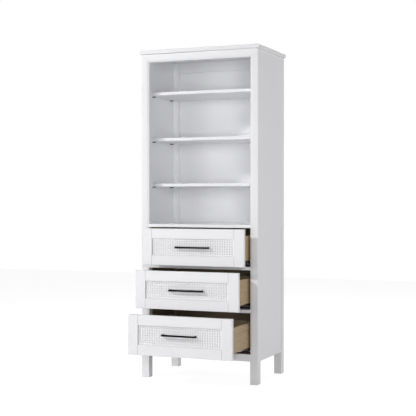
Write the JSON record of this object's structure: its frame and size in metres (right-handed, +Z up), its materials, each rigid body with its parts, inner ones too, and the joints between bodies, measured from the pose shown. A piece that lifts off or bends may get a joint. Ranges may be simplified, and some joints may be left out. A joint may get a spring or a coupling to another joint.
{
  "type": "bathroom cabinet",
  "caption": "Tall white bathroom cabinet with square legs, an open section of lift-out shelves and drawers below with framed woven fronts and black bar pulls.",
  "frame": {"origin": "on the floor at the centre of the four posts", "axes": "+Z up, +X to the right seen from the front, +Y to the back; the drawers open along -Y"},
  "size_m": [0.61, 0.616, 1.57],
  "materials": {
    "white_paint": "satin white paint on wood",
    "woven_paint": "white paint on woven cane strips",
    "drawer_wood": "clear lacquer on solid wood",
    "drawer_ply": "clear lacquer on plywood",
    "raw_board": "bare board",
    "black_metal": "matt black powder coat",
    "slide_steel": "zinc-plated sheet steel",
    "pin_metal": "dark nickel plate"
  },
  "bodies": {
    "cabinet": {"post_front_right": "white_paint", "post_front_left": "white_paint", "post_rear_right": "white_paint", "post_rear_left": "white_paint", "side_panel_right": "white_paint", "side_panel_left": "white_paint", "side_rail_right": "white_paint", "side_rail_left": "white_paint", "top_board": "white_paint", "top_rail": "white_paint", "bottom_rail": "white_paint", "drawer_rails": "white_paint", "rear_rail_upper": "white_paint", "rear_rail_lower": "white_paint", "back_panel": "white_paint", "bottom_panel": "raw_board", "fixed_shelf": "white_paint", "shelf_lower": "white_paint", "shelf_middle": "white_paint", "shelf_upper": "white_paint", "shelf_pins": "pin_metal", "slide_cleats": "raw_board", "slide_bases": "slide_steel"},
    "drawer_upper": {"drawer_upper_front_stiles": "white_paint", "drawer_upper_front_rails": "white_paint", "drawer_upper_backing_board": "white_paint", "drawer_upper_woven_panel": "woven_paint", "drawer_upper_pull": "black_metal", "drawer_upper_box_sides": "drawer_wood", "drawer_upper_box_front": "drawer_wood", "drawer_upper_box_back": "drawer_wood", "drawer_upper_box_bottom": "drawer_ply", "drawer_upper_slide_runners": "slide_steel"},
    "drawer_upper_slide_middles": {"drawer_upper_slide_middles": "slide_steel"},
    "drawer_middle": {"drawer_middle_front_stiles": "white_paint", "drawer_middle_front_rails": "white_paint", "drawer_middle_backing_board": "white_paint", "drawer_middle_woven_panel": "woven_paint", "drawer_middle_pull": "black_metal", "drawer_middle_box_sides": "drawer_wood", "drawer_middle_box_front": "drawer_wood", "drawer_middle_box_back": "drawer_wood", "drawer_middle_box_bottom": "drawer_ply", "drawer_middle_slide_runners": "slide_steel"},
    "drawer_middle_slide_middles": {"drawer_middle_slide_middles": "slide_steel"},
    "drawer_lower": {"drawer_lower_front_stiles": "white_paint", "drawer_lower_front_rails": "white_paint", "drawer_lower_backing_board": "white_paint", "drawer_lower_woven_panel": "woven_paint", "drawer_lower_pull": "black_metal", "drawer_lower_box_sides": "drawer_wood", "drawer_lower_box_front": "drawer_wood", "drawer_lower_box_back": "drawer_wood", "drawer_lower_box_bottom": "drawer_ply", "drawer_lower_slide_runners": "slide_steel"},
    "drawer_lower_slide_middles": {"drawer_lower_slide_middles": "slide_steel"}
  },
  "joints": [
    {"name": "drawer_upper_slide", "type": "slide", "parent": "cabinet", "child": "drawer_upper", "axis": [0, -1, 0], "range_m": [-0.076, 0.224]},
    {"name": "drawer_upper_middle_slide", "type": "slide", "parent": "cabinet", "child": "drawer_upper_slide_middles", "axis": [0, -1, 0], "range_m": [-0.038, 0.112]},
    {"name": "drawer_middle_slide", "type": "slide", "parent": "cabinet", "child": "drawer_middle", "axis": [0, -1, 0], "range_m": [-0.146, 0.154]},
    {"name": "drawer_middle_middle_slide", "type": "slide", "parent": "cabinet", "child": "drawer_middle_slide_middles", "axis": [0, -1, 0], "range_m": [-0.073, 0.077]},
    {"name": "drawer_lower_slide", "type": "slide", "parent": "cabinet", "child": "drawer_lower", "axis": [0, -1, 0], "range_m": [-0.224, 0.076]},
    {"name": "drawer_lower_middle_slide", "type": "slide", "parent": "cabinet", "child": "drawer_lower_slide_middles", "axis": [0, -1, 0], "range_m": [-0.112, 0.038]}
  ],
  "couplings": [
    {"joint": "drawer_upper_middle_slide", "follows": "drawer_upper_slide", "ratio": 0.5},
    {"joint": "drawer_middle_middle_slide", "follows": "drawer_middle_slide", "ratio": 0.5},
    {"joint": "drawer_lower_middle_slide", "follows": "drawer_lower_slide", "ratio": 0.5}
  ]
}
